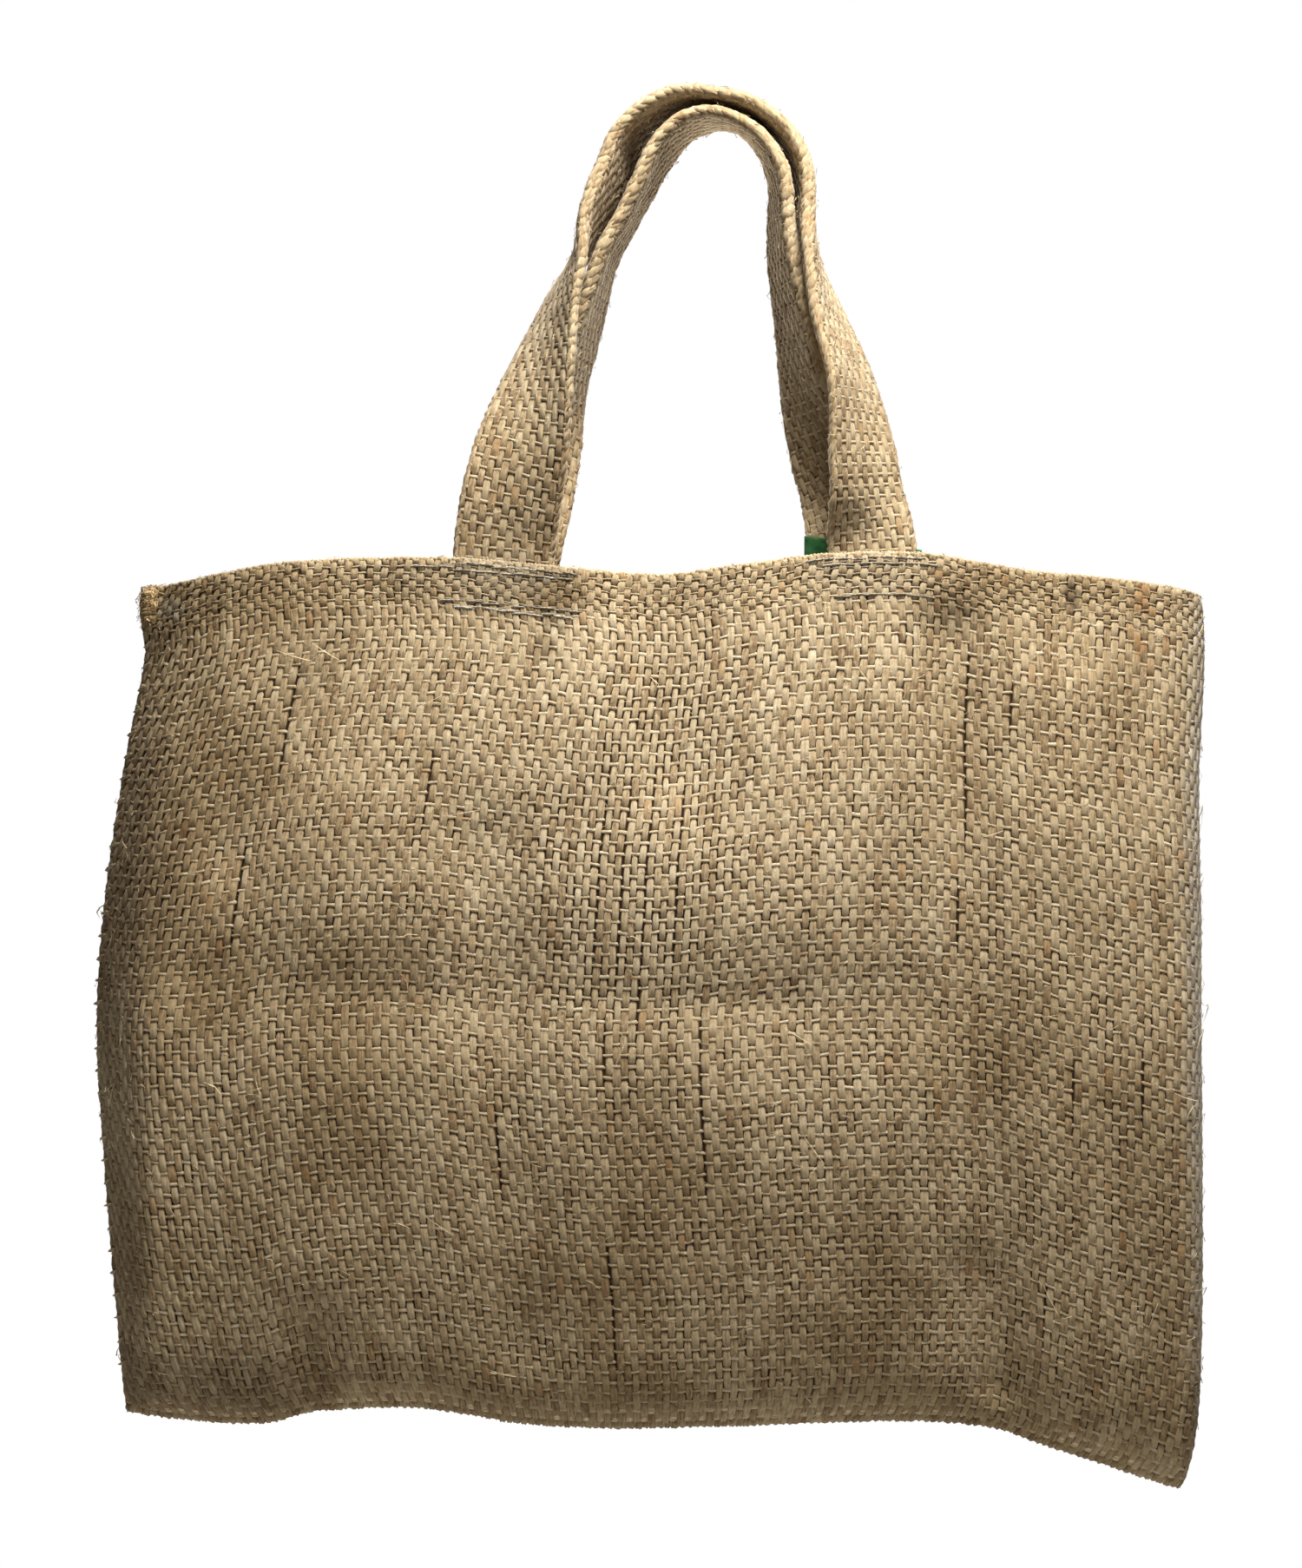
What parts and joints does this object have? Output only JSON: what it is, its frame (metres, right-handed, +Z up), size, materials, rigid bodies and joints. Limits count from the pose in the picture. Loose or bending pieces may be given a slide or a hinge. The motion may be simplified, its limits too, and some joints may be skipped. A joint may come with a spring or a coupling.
{
  "type": "hemp tote bag",
  "caption": "Soft, unlined tote bag of coarse plain-weave hemp cloth with a hemmed mouth and a side seam, hanging by its folded cloth straps with the mouth almost shut.",
  "frame": {"origin": "the hanging point, just under the crown of the inner strap, where a hook or peg holds the bag", "axes": "+X across the bag to the viewer's right, +Y from the front face to the back, +Z up"},
  "size_m": [0.5277, 0.0683, 0.6673],
  "materials": {
    "body_cloth": "coarse undyed plain weave, matte",
    "strap_cloth": "the same cloth folded in four, matte",
    "label_cloth": "plain dark green woven tab"
  },
  "bodies": {
    "root": {"bag_body": "body_cloth", "front_handle": "strap_cloth", "back_handle": "strap_cloth", "green_label": "label_cloth"}
  },
  "joints": []
}
